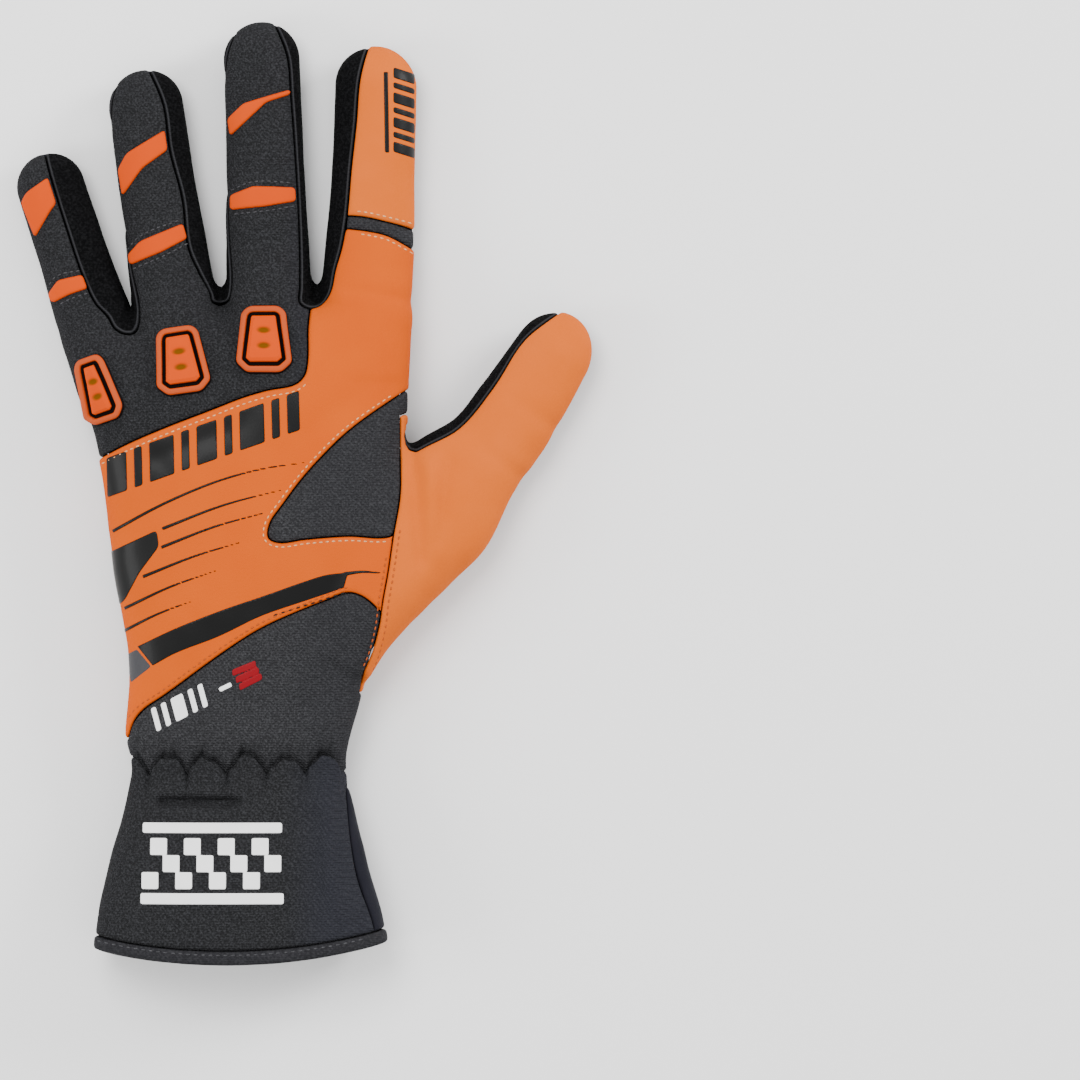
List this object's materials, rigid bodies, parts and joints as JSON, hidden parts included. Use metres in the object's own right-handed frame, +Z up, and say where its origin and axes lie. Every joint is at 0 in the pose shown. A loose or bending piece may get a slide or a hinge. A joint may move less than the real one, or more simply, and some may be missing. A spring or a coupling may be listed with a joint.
{
  "type": "karting glove",
  "caption": "Long-cuffed karting glove for the left hand, lying palm down, with moulded knuckle pads, rubber finger strips, silicone palm grips and an open cuff.",
  "frame": {"origin": "on the surface the glove lies on, under the middle of its length and width", "axes": "+Y towards the fingertips, +X towards the thumb, +Z up out of the back of the hand"},
  "size_m": [0.1766, 0.2896, 0.0342],
  "materials": {
    "orange_leather": "matt suede-like synthetic leather, orange",
    "orange_rubber": "smooth moulded rubber, vivid orange",
    "black_knit": "matt stretch knit with a fine heather",
    "black_stretch": "matt ribbed stretch fabric and tape",
    "black_palm": "napped synthetic suede",
    "black_silicone": "gloss printed silicone"
  },
  "bodies": {
    "root": {"hem_binding": "black_stretch", "cuff_back": "black_knit", "cuff_palm": "black_palm", "thumb_palm": "black_palm", "palm_panel": "black_palm", "thumb_web": "black_stretch", "thumb_panel": "orange_leather", "side_insert": "black_knit", "little_ring_fourchette": "black_stretch", "ring_middle_fourchette": "black_stretch", "middle_index_fourchette": "black_stretch", "index_tip_panel": "orange_leather", "index_stretch_band": "black_stretch", "wrist_panel": "black_knit", "back_band": "orange_leather", "knuckle_panel": "black_knit", "little_knuckle_pad": "orange_rubber", "ring_knuckle_pad": "orange_rubber", "middle_knuckle_pad": "orange_rubber", "little_joint_strip": "orange_rubber", "ring_joint_strip": "orange_rubber", "middle_joint_strip": "orange_rubber", "little_tip_slash": "orange_rubber", "ring_tip_slash": "orange_rubber", "middle_tip_slash": "orange_rubber", "palm_band_grip": "black_silicone", "heel_grip": "black_silicone", "thumb_ball_grip": "black_silicone", "little_grip": "black_silicone", "ring_grip": "black_silicone", "middle_grip": "black_silicone", "index_grip": "black_silicone", "thumb_grip": "black_silicone"}
  },
  "joints": []
}
